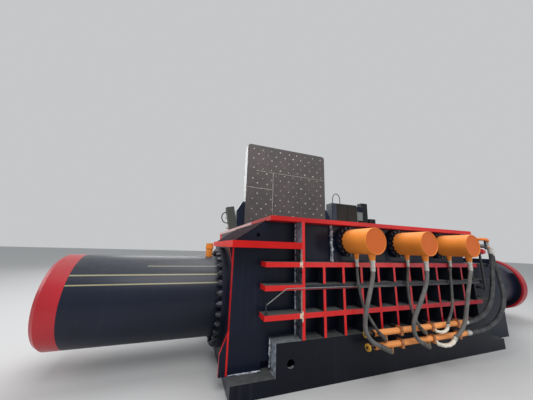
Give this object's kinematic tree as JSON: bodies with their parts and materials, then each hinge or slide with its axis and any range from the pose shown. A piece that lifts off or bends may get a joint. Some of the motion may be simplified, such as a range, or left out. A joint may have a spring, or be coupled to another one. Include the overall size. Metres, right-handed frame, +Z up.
{
  "type": "recycling baler",
  "caption": "Hydraulic scrap baler: a ribbed press box with an upright hinged lid, big cylinders at the ends and back, and lock cylinders fed by hoses in front.",
  "frame": {"origin": "centre of the base rectangle on its underside, on the floor", "axes": "+X to the right along the front, in the direction the main ram presses; +Y to the rear, towards the side cylinder; +Z up"},
  "size_m": [9.15, 6.435, 4.77],
  "materials": {
    "body_black": "glossy black paint with dust",
    "rail_red": "glossy signal red paint",
    "band_red": "deep red paint",
    "chequered_plate": "worn primer on chequered plate",
    "wear_steel": "rough wear plate with plug welds",
    "dust_grey": "grey paint under dust",
    "bare_steel": "zinc plated",
    "chrome_rod": "hard chrome, ground",
    "cylinder_orange": "orange paint",
    "arm_navy": "navy paint",
    "hose_rubber": "matt woven cover"
  },
  "bodies": {
    "press_body": {"base_frame": "body_black", "front_wall": "body_black", "front_ribs": "rail_red", "lock_pad": "body_black", "top_frame": "rail_red", "shoulder_rail": "rail_red", "slope_plate": "chequered_plate", "left_end_plate": "body_black", "left_wall": "body_black", "lane_roof": "body_black", "right_wall": "body_black", "rear_plate": "body_black", "rear_ribs": "rail_red", "lane_floor": "wear_steel", "chamber_ledge": "body_black", "tunnel": "body_black", "tunnel_roof": "dust_grey", "main_barrel": "body_black", "main_end_cap": "band_red", "flange_studs": "bare_steel", "main_gland": "bare_steel", "counter_barrel": "body_black", "counter_end_cap": "band_red", "side_barrel": "body_black", "side_end_cap": "band_red", "port_fittings": "cylinder_orange", "lock_barrels": "cylinder_orange", "lock_flanges": "body_black", "lock_flange_bolts": "bare_steel", "lock_nozzles": "cylinder_orange", "hinge_blocks": "body_black", "hinge_pins": "bare_steel", "lid_cylinder_brackets": "body_black", "manifold_pipes": "cylinder_orange", "pipe_clamps": "bare_steel", "branch_elbows": "bare_steel", "hose_ferrules": "bare_steel", "supply_pipes": "cylinder_orange", "supply_brackets": "body_black", "hoses": "hose_rubber", "valve_blocks": "dust_grey", "valve_stand": "body_black", "grease_line": "bare_steel"},
    "main_ram": {"main_rod": "chrome_rod", "main_head": "wear_steel"},
    "counter_ram": {"counter_rod": "chrome_rod", "counter_head": "wear_steel"},
    "side_ram": {"side_rod": "chrome_rod", "side_head": "wear_steel"},
    "lock_pin_left": {"lock_pin_1": "chrome_rod"},
    "lock_pin_middle": {"lock_pin_2": "chrome_rod"},
    "lock_pin_right": {"lock_pin_3": "chrome_rod"},
    "lid": {"lid_plate": "body_black", "lid_wear_plates": "wear_steel", "lid_arm_left": "arm_navy", "lid_arm_right": "arm_navy"},
    "lid_barrel_left": {"lid_cylinder_left": "arm_navy"},
    "lid_barrel_right": {"lid_cylinder_right": "arm_navy"},
    "lid_ram_left": {"lid_rod_left": "chrome_rod"},
    "lid_ram_right": {"lid_rod_right": "chrome_rod"}
  },
  "joints": [
    {"name": "main_ram_slide", "type": "slide", "parent": "press_body", "child": "main_ram", "axis": [1, 0, 0], "range_m": [0, 1.25]},
    {"name": "counter_ram_slide", "type": "slide", "parent": "press_body", "child": "counter_ram", "axis": [-1, 0, 0], "range_m": [0, 1]},
    {"name": "side_ram_slide", "type": "slide", "parent": "press_body", "child": "side_ram", "axis": [0, -1, 0], "range_m": [0, 1.43]},
    {"name": "lock_slide", "type": "slide", "parent": "press_body", "child": "lock_pin_left", "axis": [0, 1, 0], "range_m": [0, 0.3]},
    {"name": "lock_slide_middle", "type": "slide", "parent": "press_body", "child": "lock_pin_middle", "axis": [0, 1, 0], "range_m": [0, 0.3]},
    {"name": "lock_slide_right", "type": "slide", "parent": "press_body", "child": "lock_pin_right", "axis": [0, 1, 0], "range_m": [0, 0.3]},
    {"name": "lid_hinge", "type": "hinge", "parent": "press_body", "child": "lid", "pos_m": [0.06, 1.95, 1.43], "axis": [1, 0, 0], "range_deg": [0, 90]},
    {"name": "lid_barrel_tilt_left", "type": "hinge", "parent": "press_body", "child": "lid_barrel_left", "pos_m": [-1.455, 2.195, 0.25], "axis": [1, 0, 0], "range_deg": [-1.29, 0]},
    {"name": "lid_rod_slide_left", "type": "slide", "parent": "lid_barrel_left", "child": "lid_ram_left", "axis": [0, -0.0117, 0.9999], "range_m": [0, 0.49481]},
    {"name": "lid_barrel_tilt_right", "type": "hinge", "parent": "press_body", "child": "lid_barrel_right", "pos_m": [1.575, 2.195, 0.25], "axis": [1, 0, 0], "range_deg": [-1.29, 0]},
    {"name": "lid_rod_slide_right", "type": "slide", "parent": "lid_barrel_right", "child": "lid_ram_right", "axis": [0, -0.0117, 0.9999], "range_m": [0, 0.49481]}
  ],
  "couplings": [
    {"joint": "lock_slide_middle", "follows": "lock_slide", "ratio": 1},
    {"joint": "lock_slide_right", "follows": "lock_slide", "ratio": 1},
    {"joint": "lid_barrel_tilt_left", "follows": "lid_hinge", "ratio": -0.014274},
    {"joint": "lid_rod_slide_left", "follows": "lid_hinge", "m_per_rad": 0.31469},
    {"joint": "lid_barrel_tilt_right", "follows": "lid_hinge", "ratio": -0.014274},
    {"joint": "lid_rod_slide_right", "follows": "lid_hinge", "m_per_rad": 0.31469}
  ]
}
